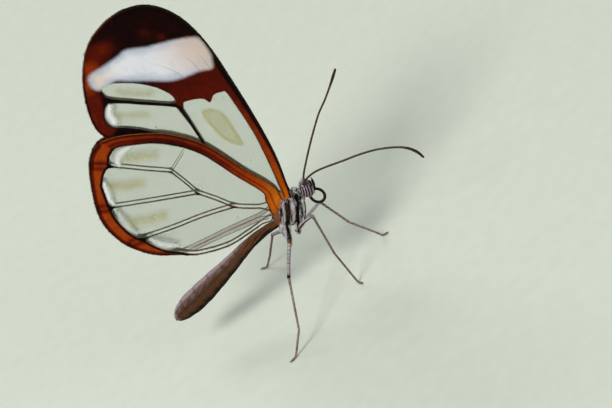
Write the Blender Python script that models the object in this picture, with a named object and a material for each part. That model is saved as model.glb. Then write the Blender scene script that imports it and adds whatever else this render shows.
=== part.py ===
"""A glasswing butterfly at rest, at life size, standing with its wings closed over its back.

Frame: +X is the way the animal faces, +Y is its left, +Z is up and the floor is z = 0.
Every dimension below is in millimetres, and MM turns it into metres.
Points are given from the middle of the thorax in x and y, and from the floor in z.
"""

import math

import bmesh
import bpy
from mathutils import Vector

MM = 0.001

# The whole animal: this puts the origin under the middle of its outline
THORAX_X = 0.39
THORAX_Y = 0.76

# Sizes that several parts share
CUT = 0.12
LIMB_RADIUS = 0.27
SOLE_DEPTH = 0.1
SOLE_HEIGHT = LIMB_RADIUS - SOLE_DEPTH
LIMB_SIDES = 8
BODY_SIDES = 20

# Wings: thickness of a wing and of the gaps between them, and how they part round the thorax
WING_THICKNESS = 0.5
WING_GAP = 0.16
ROOT_X = 0.3
ROOT_Z = 10.4
ROOT_SPREAD = 1.55
ROOT_REACH_X = 4.2
ROOT_REACH_Z = 2.2
OVERLAP_START_Z = 10.9
OVERLAP_RUN = 1.1

# Forewing outline as (x, z): the costa from root to apex, then the inner and outer margins
FOREWING_COSTA = (
    (1.25, 10.85), (1.76, 12.6), (2.7, 16.0), (3.5, 20.7), (4.0, 25.2), (4.35, 29.2),
    (4.3, 32.0), (3.9, 34.3), (3.0, 36.2), (1.7, 37.5), (0.0, 38.15), (-1.0, 38.2),
)
FOREWING_MARGIN = (
    (0.8, 10.95), (0.45, 12.5), (-0.35, 14.5), (-1.5, 17.2), (-3.0, 20.3), (-5.0, 22.9),
    (-7.2, 24.9), (-9.2, 26.6), (-9.9, 28.2), (-9.5, 30.3), (-8.2, 33.1), (-6.2, 35.8),
    (-4.3, 37.3), (-2.3, 38.05), (-1.5, 38.17),
)

# Hindwing outline as (x, z): the costa from root to apex, then the inner and outer margins
HINDWING_COSTA = (
    (0.6, 11.2), (0.52, 11.9), (0.6, 12.7), (0.25, 14.1), (-0.6, 16.3), (-2.1, 20.8),
    (-4.1, 23.8), (-6.0, 25.4), (-8.6, 26.8), (-10.2, 27.15),
)
HINDWING_MARGIN = (
    (-1.3, 9.8), (-2.6, 9.95), (-4.4, 9.8), (-7.0, 9.7), (-10.1, 10.6), (-11.8, 11.8),
    (-13.3, 12.8), (-14.5, 14.2), (-15.4, 16.0), (-15.75, 18.3), (-15.4, 20.6),
    (-14.3, 23.1), (-13.0, 25.4), (-11.8, 26.6), (-10.8, 27.1),
)

# Body lofts: x, z, half width and half height of each section
# The thorax goes from the leg bases up to its back, the abdomen from its tip forwards
THORAX = (
    (-0.75, 7.15, 0.3, 0.5), (-0.68, 7.45, 0.7, 0.98), (-0.5, 8.1, 1.02, 1.4),
    (-0.22, 9.0, 1.22, 1.7), (0.2, 9.9, 1.28, 1.76), (0.65, 10.7, 1.15, 1.46),
    (1.1, 11.22, 0.8, 0.9), (1.35, 11.55, 0.4, 0.44),
)
ABDOMEN_BASE = (
    (-5.9, 8.34, 0.64, 0.7), (-4.6, 8.68, 0.56, 0.62), (-3.2, 8.92, 0.48, 0.54),
    (-2.0, 9.0, 0.36, 0.4),
)
ABDOMEN_MIDDLE = (
    (-11.2, 6.62, 1.04, 1.14), (-9.6, 7.1, 0.93, 1.02), (-8.0, 7.6, 0.8, 0.87),
    (-6.06, 8.28, 0.65, 0.71),
)
ABDOMEN_TIP = (
    (-16.55, 4.95, 0.2, 0.22), (-16.2, 5.12, 0.55, 0.62), (-15.5, 5.38, 0.86, 0.98),
    (-14.4, 5.72, 1.07, 1.2), (-13.0, 6.08, 1.12, 1.24), (-11.36, 6.56, 1.06, 1.16),
)

# Head, with a domed eye set in each side
HEAD_CENTRE = (3.0, 0.0, 10.74)
HEAD_RADII = (0.7, 0.66, 0.82)
EYE_CENTRE = (3.14, 0.45, 10.78)
EYE_RADII = (0.6, 0.49, 0.67)
EYE_BACK = 0.3
SOCKET_GAP = 0.05

# Proboscis, coiled into an open ring below the face
PROBOSCIS_CENTRE = (3.54, 9.4)
PROBOSCIS_RADII = (0.58, 0.55)
PROBOSCIS_START = math.radians(55)
PROBOSCIS_TURN = math.radians(-258)
PROBOSCIS_WIRE = 0.25

# Feelers and palps as points x, y, z, with y counted outwards from the middle
LEFT_ANTENNA = (
    (3.3, 0.3, 11.7), (3.6, 0.45, 12.1), (4.6, 0.9, 13.1), (6.2, 1.4, 14.6), (8.1, 2.1, 16.2),
    (9.5, 2.5, 17.1), (10.9, 3.0, 18.1), (12.1, 3.3, 19.1),
)
RIGHT_ANTENNA = (
    (3.35, 0.3, 11.68), (3.8, 0.4, 12.0), (5.0, 0.7, 12.4), (6.4, 1.1, 12.5), (8.2, 1.5, 12.4),
    (10.3, 2.1, 12.4), (12.1, 2.6, 12.2), (13.8, 3.1, 11.7), (14.8, 3.5, 11.2), (15.4, 3.7, 10.4),
    (15.7, 4.0, 9.6),
)
ANTENNA_RADIUS = 0.25
ANTENNA_CLUB_RADIUS = 0.3
PALP = ((4.02, 0.35, 10.1), (4.12, 0.35, 10.7), (4.15, 0.35, 11.6))
PALP_RADIUS = 0.25

# Legs: hip, knee, ankle, heel and toe, with y counted outwards from the middle
LEGS = {
    "midleg_right": (
        (-0.45, 0.75, 6.85), (2.6, 2.6, 9.3), (2.0, 2.9, 4.4), (2.05, 3.0, 0.6), (2.35, 3.4, 0.0),
    ),
    "midleg_left": (
        (-0.45, 0.75, 6.85), (2.6, 2.1, 7.4), (3.6, 2.35, 3.4), (5.2, 2.35, 0.7), (5.85, 2.3, 0.0),
    ),
    "hindleg_right": (
        (-1.4, 0.6, 7.0), (-2.6, 5.0, 5.9), (-4.1, 8.4, 2.1), (-5.5, 9.2, 0.5), (-6.2, 9.6, 0.0),
    ),
    "hindleg_left": (
        (-1.4, 0.6, 7.0), (-4.3, 4.4, 5.4), (-7.1, 7.5, 1.4), (-8.0, 7.85, 0.4), (-8.7, 8.1, 0.0),
    ),
}
SOLE_LENGTH = 0.7
FORELEG = ((2.25, 0.8, 10.35), (1.95, 1.0, 9.5), (1.25, 1.1, 8.5))

# Colours, roughness of each finish
FINISHES = {
    "body": ((0.16, 0.13, 0.11), 0.75),
    "abdomen": ((0.13, 0.07, 0.045), 0.6),
    "eye": ((0.03, 0.022, 0.02), 0.25),
    "leg": ((0.15, 0.12, 0.12), 0.6),
    "feeler": ((0.08, 0.055, 0.02), 0.55),
    "wing": ((0.3, 0.09, 0.02), 0.5),
}


def clear_scene():
    """Removes what the startup file holds."""
    for obj in list(bpy.data.objects):
        bpy.data.objects.remove(obj, do_unlink=True)


def finish(node, kind):
    """The node's own Principled material."""
    colour, roughness = FINISHES[kind]
    material = bpy.data.materials.new(node)
    material.use_nodes = True
    shader = material.node_tree.nodes["Principled BSDF"]
    shader.inputs["Base Color"].default_value = (*colour, 1.0)
    shader.inputs["Roughness"].default_value = roughness
    shader.inputs["Metallic"].default_value = 0.0
    return material


def smoothstep(value):
    """0 to 1 with level ends."""
    held = min(max(value, 0.0), 1.0)
    return held * held * (3.0 - 2.0 * held)


def spline(points, count):
    """count points, evenly spaced by index, on a smooth curve through the given points."""
    points = [Vector(point) for point in points]
    last = len(points) - 1
    found = []
    for number in range(count):
        place = number * last / (count - 1)
        i = min(int(place), last - 1)
        t = place - i
        a, b = points[i], points[i + 1]
        before = points[i - 1] if i > 0 else a - (b - a)
        after = points[i + 2] if i + 2 <= last else b + (b - a)
        slope_a = (b - before) / 2
        slope_b = (after - a) / 2
        found.append(
            a * (2 * t**3 - 3 * t**2 + 1)
            + slope_a * (t**3 - 2 * t**2 + t)
            + b * (3 * t**2 - 2 * t**3)
            + slope_b * (t**3 - t**2)
        )
    return found


def even_spline(points, count):
    """The same curve with its points evenly spaced along its length."""
    fine = spline(points, 40 * len(points))
    runs = [0.0]
    for a, b in zip(fine, fine[1:]):
        runs.append(runs[-1] + (b - a).length)
    found = []
    i = 0
    for number in range(count):
        goal = runs[-1] * number / (count - 1)
        while i < len(fine) - 2 and runs[i + 1] < goal:
            i += 1
        share = (goal - runs[i]) / (runs[i + 1] - runs[i])
        found.append(fine[i].lerp(fine[i + 1], share))
    return found


def add_object(name, mesh, kind, body):
    """Puts a mesh into the scene as one of the animal's parts."""
    mesh.materials.append(finish(name, kind))
    obj = bpy.data.objects.new(name, mesh)
    bpy.context.scene.collection.objects.link(obj)
    obj.parent = body
    return obj


def mesh_from(name, bm, sharp_degrees=40):
    """Closes up a bmesh into a smooth-shaded mesh in metres, with its faces outwards."""
    bmesh.ops.recalc_face_normals(bm, faces=bm.faces)
    bmesh.ops.scale(bm, vec=(MM, MM, MM), verts=bm.verts)
    mesh = bpy.data.meshes.new(name)
    bm.to_mesh(mesh)
    bm.free()
    mesh.shade_smooth()
    mesh.set_sharp_from_angle(angle=math.radians(sharp_degrees))
    return mesh


def bridge_rings(bm, rings):
    """Joins rings of equal size into a skin and closes both ends with a flat cap."""
    count = len(rings[0])
    for low, high in zip(rings, rings[1:]):
        for i in range(count):
            j = (i + 1) % count
            bm.faces.new((low[i], low[j], high[j], high[i]))
    bm.faces.new(rings[0])
    bm.faces.new(rings[-1])


def section(bm, centre, along, half_width, half_height, sides):
    """A ring round a point, upright across the direction it faces."""
    across = along.cross(Vector((0, 0, 1)))
    if across.length < 0.2:
        across = along.cross(Vector((0, 1, 0)))
    across.normalize()
    up = across.cross(along).normalized()
    ring = []
    for i in range(sides):
        turn = math.tau * i / sides
        offset = across * (half_width * math.cos(turn)) + up * (half_height * math.sin(turn))
        ring.append(bm.verts.new(centre + offset))
    return ring


def directions(points):
    """The direction of a path at each of its points."""
    last = len(points) - 1
    return [
        (points[min(i + 1, last)] - points[max(i - 1, 0)]).normalized() for i in range(last + 1)
    ]


def body_loft(name, stations, count, kind, body):
    """A length of the trunk, through sections given as x, z, half width and half height."""
    sections = spline([(x, z, w, h) for x, z, w, h in stations], count)
    centres = [Vector((s[0], 0.0, s[1])) for s in sections]
    bm = bmesh.new()
    rings = [
        section(bm, centre, along, s[2], s[3], BODY_SIDES)
        for centre, along, s in zip(centres, directions(centres), sections)
    ]
    bridge_rings(bm, rings)
    return add_object(name, mesh_from(name, bm, 75), kind, body)


def limb_bmesh(points, count, radii, sides=LIMB_SIDES):
    """A round limb along a path, with domed ends that stop at the path's own ends."""
    path = even_spline(points, count)
    aims = directions(path)
    bm = bmesh.new()
    rings = []
    dome = [math.radians(angle) for angle in (25, 60)]
    sizes = [radii[0] + (radii[1] - radii[0]) * i / (count - 1) for i in range(count)]
    for angle in dome:
        back = sizes[0] * (1 - math.sin(angle))
        rings.append(
            section(bm, path[0] + aims[0] * back, aims[0], *[sizes[0] * math.cos(angle)] * 2, sides)
        )
    rings.reverse()
    for centre, aim, size in list(zip(path, aims, sizes))[1:-1]:
        rings.append(section(bm, centre, aim, size, size, sides))
    for angle in dome:
        back = sizes[-1] * (1 - math.sin(angle))
        rings.append(
            section(bm, path[-1] - aims[-1] * back, aims[-1], *[sizes[-1] * math.cos(angle)] * 2, sides)
        )
    bridge_rings(bm, rings)
    return bm


def limb(name, points, count, radii, kind, body, sides=LIMB_SIDES):
    """A round limb as a part of its own."""
    bm = limb_bmesh(points, count, radii, sides)
    return add_object(name, mesh_from(name, bm, 75), kind, body)


def sided(points, side):
    """Points given with y outwards, on the animal's left for side +1 and its right for -1."""
    return [Vector((x, y * side, z)) for x, y, z in points]


def ellipsoid_bmesh(centre, radii, segments, rings):
    """An egg shape in place."""
    bm = bmesh.new()
    bmesh.ops.create_uvsphere(bm, u_segments=segments, v_segments=rings, radius=1.0)
    bmesh.ops.scale(bm, vec=radii, verts=bm.verts)
    bmesh.ops.translate(bm, vec=centre, verts=bm.verts)
    return bm


def cut_flat(bm, point, outwards):
    """Cuts off what lies beyond a plane and closes the cut with a flat face."""
    everything = bm.verts[:] + bm.edges[:] + bm.faces[:]
    cut = bmesh.ops.bisect_plane(
        bm, geom=everything, plane_co=point, plane_no=outwards, clear_outer=True
    )
    rim = [item for item in cut["geom_cut"] if isinstance(item, bmesh.types.BMEdge)]
    bmesh.ops.contextual_create(bm, geom=rim)


def eye_dome(name, side, margin):
    """An eye's dome with a flat back, or its socket when a margin is given."""
    centre = (EYE_CENTRE[0], EYE_CENTRE[1] * side, EYE_CENTRE[2])
    bm = ellipsoid_bmesh(centre, [radius + margin for radius in EYE_RADII], 18, 12)
    cut_flat(bm, (0, (EYE_BACK - margin) * side, 0), (0, -side, 0))
    return mesh_from(name, bm, 60)


def root_ease(x, z):
    """1 at the wing roots, falling to 0 where the closed wings lie flat together."""
    away = math.hypot((x - ROOT_X) / ROOT_REACH_X, (z - ROOT_Z) / ROOT_REACH_Z)
    return 1.0 - smoothstep((away - 0.15) / 0.85)


def inner_face(x, z):
    """How far a forewing's inner face lies from the middle, and a wing's width across there."""
    spread = ROOT_SPREAD * root_ease(x, z)
    step = 0.05
    slope_x = ROOT_SPREAD * (root_ease(x + step, z) - root_ease(x, z)) / step
    slope_z = ROOT_SPREAD * (root_ease(x, z + step) - root_ease(x, z)) / step
    width = WING_THICKNESS * math.sqrt(1 + slope_x**2 + slope_z**2)
    return WING_GAP / 2 + spread, width


def depth_in_forewing(x, z, edge):
    """How far a point lies inside the forewing from its inner margin, negative outside it."""
    point = Vector((x, z))
    nearest = min(range(len(edge) - 1), key=lambda i: (edge[i].lerp(edge[i + 1], 0.5) - point).length)
    a, b = edge[nearest], edge[nearest + 1]
    run = (b - a).normalized()
    return run.x * (a.y - z) - run.y * (a.x - x)


def hindwing_lift(x, z, edge):
    """1 where a hindwing lies over the forewing's inner margin, 0 where it lies on its own."""
    over = smoothstep((depth_in_forewing(x, z, edge) + 0.2 + OVERLAP_RUN) / OVERLAP_RUN)
    return over * smoothstep(z - OVERLAP_START_Z)


def wing(name, leading, trailing, side, lift, rows, columns, body):
    """A wing as one thin curved plate between its leading edge and the rest of its outline."""
    lead = even_spline(leading, rows)
    trail = even_spline(trailing, rows)
    bm = bmesh.new()
    inner, outer = [], []
    for a, b in zip(lead, trail):
        inner_row, outer_row = [], []
        for i in range(columns + 1):
            x, z = a.lerp(b, i / columns)
            near, width = inner_face(x, z)
            near += lift(x, z) * (width + WING_GAP)
            inner_row.append(bm.verts.new((x, side * near, z)))
            outer_row.append(bm.verts.new((x, side * (near + width), z)))
        inner.append(inner_row)
        outer.append(outer_row)
    for grid in (inner, outer):
        for low, high in zip(grid, grid[1:]):
            for i in range(columns):
                bm.faces.new((low[i], low[i + 1], high[i + 1], high[i]))
    rim_in = inner[0] + [row[-1] for row in inner[1:]] + inner[-1][-2::-1]
    rim_out = outer[0] + [row[-1] for row in outer[1:]] + outer[-1][-2::-1]
    rim_in += [row[0] for row in inner[-2:0:-1]]
    rim_out += [row[0] for row in outer[-2:0:-1]]
    for i in range(len(rim_in)):
        j = (i + 1) % len(rim_in)
        bm.faces.new((rim_in[i], rim_in[j], rim_out[j], rim_out[i]))
    return add_object(name, mesh_from(name, bm), "wing", body)


def build_wings(body):
    """Both pairs of wings, with the hindwings outermost along the edge they share."""
    margin = spline(FOREWING_MARGIN[:9], 60)
    for label, side in (("left", 1), ("right", -1)):
        wing(
            f"forewing_{label}", FOREWING_COSTA, FOREWING_MARGIN, side,
            lambda x, z: 0.0, 22, 6, body,
        )
        wing(
            f"hindwing_{label}", HINDWING_COSTA, HINDWING_MARGIN, side,
            lambda x, z: hindwing_lift(x, z, margin), 20, 9, body,
        )


def build_trunk(body):
    """Thorax, and the abdomen in three lengths that thin cuts part."""
    body_loft("thorax", THORAX, 15, "body", body)
    body_loft("abdomen_base", ABDOMEN_BASE, 7, "abdomen", body)
    body_loft("abdomen_middle", ABDOMEN_MIDDLE, 7, "abdomen", body)
    body_loft("abdomen_tip", ABDOMEN_TIP, 9, "abdomen", body)


def build_head(body):
    """Head with a socket cut for each eye, the eyes, palps, proboscis and feelers."""
    head_mesh = mesh_from("head", ellipsoid_bmesh(HEAD_CENTRE, HEAD_RADII, 20, 12), 75)
    head = add_object("head", head_mesh, "body", body)
    for label, side in (("left", 1), ("right", -1)):
        add_object(f"eye_{label}", eye_dome(f"eye_{label}", side, 0), "eye", body)
        socket_mesh = eye_dome(f"socket_{label}", side, SOCKET_GAP)
        socket = add_object(f"socket_{label}", socket_mesh, "eye", body)
        socket.hide_render = True
        socket.display_type = "WIRE"
        cut = head.modifiers.new(f"socket_{label}", "BOOLEAN")
        cut.operation = "DIFFERENCE"
        cut.solver = "EXACT"
        cut.object = socket
        palp_radii = (PALP_RADIUS, PALP_RADIUS * 0.8)
        limb(f"palp_{label}", sided(PALP, side), 6, palp_radii, "body", body)
    for label, side, route in (("left", 1, LEFT_ANTENNA), ("right", -1, RIGHT_ANTENNA)):
        radii = (ANTENNA_RADIUS, ANTENNA_CLUB_RADIUS)
        limb(f"antenna_{label}", sided(route, side), 22, radii, "feeler", body, 7)
    coil = []
    steps = 14
    for i in range(steps + 1):
        share = i / steps
        angle = PROBOSCIS_START + PROBOSCIS_TURN * share
        radius = PROBOSCIS_RADII[0] + (PROBOSCIS_RADII[1] - PROBOSCIS_RADII[0]) * share
        x = PROBOSCIS_CENTRE[0] + radius * math.cos(angle)
        z = PROBOSCIS_CENTRE[1] + radius * math.sin(angle)
        coil.append((x, 0.0, z))
    limb("proboscis", coil, 22, (PROBOSCIS_WIRE, PROBOSCIS_WIRE), "feeler", body)


def joint_gap(before, joint, after):
    """How far two round limbs stop short of the joint they share, so that a thin cut parts them."""
    bend = (before - joint).angle(after - joint)
    return (LIMB_RADIUS + CUT / 2) / math.sin(bend / 2) - LIMB_RADIUS


def build_leg(name, points, side, body):
    """A leg as thigh, shin and foot, parted by thin cuts, the foot flat on the floor."""
    hip, knee, ankle, heel, toe = sided(points, side)
    thin = LIMB_RADIUS * 0.93
    knee_gap = joint_gap(hip, knee, ankle)
    ankle_gap = joint_gap(knee, ankle, heel)
    thigh = (knee - hip).normalized()
    shin = (ankle - knee).normalized()
    femur = (hip, knee - thigh * knee_gap)
    tibia = (knee + shin * knee_gap, ankle - shin * ankle_gap)
    limb(f"{name}_femur", femur, 4, (LIMB_RADIUS, LIMB_RADIUS), "leg", body)
    limb(f"{name}_tibia", tibia, 4, (LIMB_RADIUS, thin), "leg", body)
    lifted_toe = toe + Vector((0, 0, SOLE_HEIGHT))
    forward = Vector((toe.x - heel.x, toe.y - heel.y, 0)).normalized()
    ball = lifted_toe - forward * SOLE_LENGTH * 0.6
    end = lifted_toe + forward * SOLE_LENGTH * 0.4
    start = ankle + (heel - ankle).normalized() * ankle_gap
    bm = limb_bmesh((start, heel, ball, end), 9, (thin, LIMB_RADIUS))
    cut_flat(bm, (0, 0, 0), (0, 0, -1))
    add_object(f"{name}_tarsus", mesh_from(f"{name}_tarsus", bm, 50), "leg", body)


def build_legs(body):
    """The four walking legs, and the short front legs folded against the chest."""
    for name, points in LEGS.items():
        build_leg(name, points, 1 if name.endswith("left") else -1, body)
    for label, side in (("left", 1), ("right", -1)):
        radii = (LIMB_RADIUS, LIMB_RADIUS * 0.9)
        limb(f"foreleg_{label}", sided(FORELEG, side), 6, radii, "leg", body)


def main():
    clear_scene()
    body = bpy.data.objects.new("butterfly", None)
    bpy.context.scene.collection.objects.link(body)
    body.location = (THORAX_X * MM, THORAX_Y * MM, 0)
    build_trunk(body)
    build_head(body)
    build_wings(body)
    build_legs(body)


main()
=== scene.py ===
"""A glasswing butterfly at rest with its wings closed, at life size, in studio light.

Shapes are worked out in millimetres, in the frame of the thorax: x from its middle towards
the head, y towards the animal's left, z from the floor. build_mesh turns them into metres.
"""
import math

import bpy
import numpy as np
from mathutils import Matrix, Vector


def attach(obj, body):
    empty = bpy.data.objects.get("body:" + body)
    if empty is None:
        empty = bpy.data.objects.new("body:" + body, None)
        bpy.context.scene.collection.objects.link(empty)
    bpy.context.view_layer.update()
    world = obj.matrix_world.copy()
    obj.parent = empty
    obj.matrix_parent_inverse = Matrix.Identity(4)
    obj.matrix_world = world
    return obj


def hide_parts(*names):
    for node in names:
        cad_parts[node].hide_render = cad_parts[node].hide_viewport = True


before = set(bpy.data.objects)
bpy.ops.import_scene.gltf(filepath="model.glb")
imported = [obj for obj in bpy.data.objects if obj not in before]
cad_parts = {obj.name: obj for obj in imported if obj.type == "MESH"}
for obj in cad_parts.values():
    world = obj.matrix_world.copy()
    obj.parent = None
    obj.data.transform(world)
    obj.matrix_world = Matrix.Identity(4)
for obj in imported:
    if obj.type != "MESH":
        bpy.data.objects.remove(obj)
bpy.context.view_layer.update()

MM = 0.001
SHIFT = np.array((0.39, 0.76, 0.0))
SIDES = (("left", 1), ("right", -1))

# Camera, fitted to the photograph
AZIMUTH, ELEVATION, ROLL = (math.radians(angle) for angle in (18, 30, 39))
CAMERA_DISTANCE = 300.0
PIXELS_PER_MM = 10.0
PICTURE = (612, 408)
AIM_POINT = (0.0, 0.0, 9.5)
AIM_PIXEL = (288, 212)
SENSOR = 36.0
LIT_POINT = (0.0, 0.0, 0.015)

# Wings: how far from the middle they lie, how they part round the thorax, and half their thickness
FORE_Y = 0.1
HIND_Y = 0.31
ROOT_SPREAD = 1.05
ROOT_AT = (0.3, 10.4)
ROOT_REACH = (3.3, 2.0)
FILM_HALF = 0.028
SCALES_HALF = 0.022

FORE_COSTA = (
    (1.25, 10.85), (1.76, 12.6), (2.7, 16), (3.5, 20.7), (4, 25.2), (4.35, 29.2),
    (4.3, 32), (3.9, 34.3), (3, 36.2), (1.7, 37.5), (0, 38.15), (-1, 38.2),
)
FORE_MARGIN = (
    (0.8, 10.95), (0.45, 12.5), (-0.35, 14.5), (-1.5, 17.2), (-3, 20.3), (-5, 22.9),
    (-7.2, 24.9), (-9.2, 26.6), (-9.9, 28.2), (-9.5, 30.3), (-8.2, 33.1), (-6.2, 35.8),
    (-4.3, 37.3), (-2.3, 38.05), (-1.5, 38.17),
)
HIND_COSTA = (
    (0.6, 11.2), (0.52, 11.9), (0.6, 12.7), (0.25, 14.1), (-0.6, 16.3), (-2.1, 20.8),
    (-4.1, 23.8), (-6, 25.4), (-8.6, 26.8), (-10.2, 27.15),
)
HIND_MARGIN = (
    (-1.3, 9.8), (-2.6, 9.95), (-4.4, 9.8), (-7, 9.7), (-10.1, 10.6), (-11.8, 11.8),
    (-13.3, 12.8), (-14.5, 14.2), (-15.4, 16), (-15.75, 18.3), (-15.4, 20.6),
    (-14.3, 23.1), (-13, 25.4), (-11.8, 26.6), (-10.8, 27.1),
)

# Forewing windows, white band and markings, as x, z
FORE_WINDOWS = (
    (
        (-6.98, 32.04), (-5.87, 32.2), (-4.69, 31.6), (-3.41, 30.58), (-2.43, 29.42), (-1.91, 28.45),
        (-1.6, 27.55), (-1.74, 26.88), (-2.28, 27.02), (-3.7, 28.18), (-4.95, 29.26), (-6.2, 30.3),
        (-6.95, 31.2),
    ),
    (
        (-7.25, 30.42), (-5.8, 29.45), (-4.28, 28.17), (-2.15, 26.36), (-1.95, 25.6), (-2.02, 24.33),
        (-2.17, 22.97), (-2.45, 21.4), (-3.48, 22.7), (-4.82, 24.4), (-6.15, 26), (-7.42, 27.14),
        (-8.33, 27.86), (-8.58, 28.64), (-8.33, 29.42), (-7.7, 30.17),
    ),
    (
        (-1.2, 26.29), (-0.18, 26.04), (0.68, 25.56), (1, 24.86), (1.76, 25.39), (2.65, 25.24),
        (2.93, 24.92), (2.85, 23.19), (2.62, 20.57), (2.2, 17.75), (1.6, 15.01), (1.06, 12.89),
        (0.7, 11.9), (-0.1, 13.3), (-0.8, 15.8), (-1.6, 18.7), (-2.1, 20.7), (-1.97, 22.43),
        (-1.74, 24.37), (-1.58, 25.72),
    ),
)
WHITE_BAND = (
    (-7.31, 33.68), (-6.67, 34.17), (-5.43, 34.23), (-3.33, 34.39), (-2.23, 34.54), (-0.48, 33.66),
    (0.48, 33.33), (1.75, 32.9), (2.97, 32.39), (4.05, 31.8), (4.3, 31.03), (4.2, 29.62),
    (3.95, 28.88), (3.35, 27.99), (2.21, 28.38), (0.44, 28.69), (-0.85, 29.12), (-2.29, 30.19),
    (-3.89, 31.32), (-5.11, 32.13), (-6.23, 31.97), (-7.11, 32.13), (-7.49, 32.87),
)
FORE_VEINS = (
    ((0.9, 11.5), (1.2, 13), (2.05, 16.8), (2.8, 20.8), (3.1, 23.5)),
    ((-8.2, 32), (-6.9, 30.9), (-4.4, 28.7), (-2, 26.65)),
    ((-2, 26.7), (-1.5, 26.6), (-1, 26.6), (0.2, 26.2), (1, 25.6), (2.3, 26), (3.25, 25.4)),
    ((-2, 26.7), (-2.05, 24), (-2.2, 21), (-1.6, 18), (-0.6, 15), (0.4, 12.6), (0.9, 11.5)),
    ((-1.45, 26.8), (-1.8, 28.8), (-3.2, 30.8), (-4.9, 32.15), (-7.8, 33.2)),
    ((1, 25.7), (0.3, 29.5), (-1.6, 32.5), (-4.5, 35.6), (-6, 36.3)),
    ((2.3, 26), (2.1, 30), (0.9, 33.5), (-1.5, 36.6), (-3.3, 37.6)),
    ((3.25, 27), (3.1, 31.5), (2.2, 34.8), (0.5, 37.4)),
)

# Warm spots on the forewing's tip as x, z, size and strength
WARM_SPOTS = (
    (0.3, 34.9, 0.8, 0.26), (1.3, 33.7, 0.6, 0.3), (-6.1, 34.7, 1.5, 0.46), (-3.9, 35.9, 1.4, 0.32),
    (-0.1, 27.25, 0.45, 0.34), (0.9, 27, 1.2, 0.24), (-3.6, 35.6, 0.7, 0.1), (2.6, 27.3, 0.9, 0.26),
    (-7.9, 33.2, 0.8, 0.2), (-0.7, 36.4, 1, 0.06), (-6.6, 35.2, 1, 0.16), (-5, 36.6, 0.8, 0.14),
)

# Hindwing veins and markings
HIND_VEINS = (
    ((-12.4, 25.3), (-10.9, 24.1), (-8.8, 22.2), (-6.7, 20.35)),
    ((-6.7, 20.35), (-6.3, 18.4), (-6, 16.7)),
    ((-6, 16.7), (-9.5, 18.3), (-13.6, 20.2), (-15, 20.9)),
    ((-6, 16.7), (-4.9, 15), (-3.9, 13.3), (-2.6, 12.2), (-1.1, 11.2)),
    ((-3.9, 13.3), (-7, 14.1), (-10.4, 14.7), (-13.5, 15.4), (-14.7, 15.6)),
    ((-6.7, 20.35), (-5.6, 20.9), (-4.4, 21.5)),
)
HIND_FINE_VEINS = (
    ((-1.3, 10.7), (-3.4, 11), (-6.2, 11.3), (-9, 11.5), (-11.2, 11.75)),
    ((-1.8, 10.35), (-4.5, 10.65), (-7.4, 11), (-10, 11.25), (-11.2, 11.75)),
)
CRESCENTS = (
    (((-10.45, 23.9), (-10.2, 24.65), (-9.5, 25.1), (-8.3, 25.2)), 0.9),
    (((-12.85, 23.1), (-13.25, 22.3), (-13.5, 21.3), (-13.5, 20.6)), 0.95),
    (((-13.65, 19.4), (-13.95, 18.3), (-13.95, 17.3), (-13.65, 16.4)), 0.7),
    (((-12.9, 14.9), (-12.6, 14.1), (-12.1, 13.4), (-11.2, 12.75)), 0.85),
)
FORE_MARK = ((-7.3, 30.2), (-7.9, 29.3), (-8.0, 28.3))
HIND_STREAKS = (
    ((-9.4, 24.1), (-7, 22.9)), ((-12.6, 22.3), (-11.4, 21.5), (-10, 20.9)),
    ((-13.5, 17.7), (-12.1, 17), (-10.4, 16.4)),
)
FORE_STREAKS = (((-5.6, 30.8), (-4.4, 29.8), (-3.2, 29.0)), ((-7.2, 28.6), (-6.0, 27.8), (-5.0, 27.1)))
FORE_GHOST = (
    (-0.25, 24.19), (0.67, 23.78), (1.15, 22.72), (1.05, 21.1), (0.89, 19.52), (0.76, 18.88),
    (0.2, 19.53), (-0.28, 20.6), (-0.43, 22.15), (-0.45, 23.6),
)

# Trunk sections as x, z, half width and half height
THORAX = (
    (-0.55, 8.2, 0.35, 0.6), (-0.48, 8.45, 0.75, 1.1), (-0.35, 8.8, 1.02, 1.45),
    (-0.2, 9.15, 1.22, 1.7), (0.2, 9.9, 1.28, 1.76), (0.65, 10.7, 1.12, 1.42),
    (1.05, 11.15, 0.78, 0.86), (1.25, 11.42, 0.35, 0.36),
)
ABDOMEN = (
    (-16.55, 4.95, 0.2, 0.22), (-16.2, 5.12, 0.52, 0.58), (-15.5, 5.38, 0.82, 0.93),
    (-14.4, 5.72, 1.02, 1.15), (-13, 6.08, 1.07, 1.19), (-11.2, 6.62, 1, 1.1),
    (-9.6, 7.1, 0.88, 0.97), (-8, 7.6, 0.75, 0.82), (-6, 8.3, 0.6, 0.66),
    (-4.6, 8.68, 0.52, 0.57), (-3.2, 8.92, 0.45, 0.5), (-2, 9, 0.4, 0.44), (-0.9, 9.05, 0.42, 0.5),
)
ABDOMEN_RINGS = 8
SKIN_VOXEL = 0.05
# Middle and hind coxae on the left side as x, y, z and radius
COXAE = (
    ((1.1, 0.6, 9.3, 0.45), (0.4, 0.66, 8.15, 0.3), (-0.03, 0.63, 7.55, 0.22), (-0.27, 0.55, 7.2, 0.2)),
    ((-0.9, 0.5, 9, 0.5), (-1.15, 0.68, 8.35, 0.56), (-1.2, 0.95, 7.93, 0.38), (-1.28, 1.25, 7.43, 0.22),
     (-1.43, 1.5, 7.1, 0.15)),
)

HEAD_CENTRE = (3.0, 0.0, 10.74)
HEAD_RADII = (0.66, 0.6, 0.76)
EYE_CENTRE = (3.14, 0.45, 10.78)
EYE_RADII = (0.65, 0.5, 0.72)
EYE_BARS = 15.5

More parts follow.
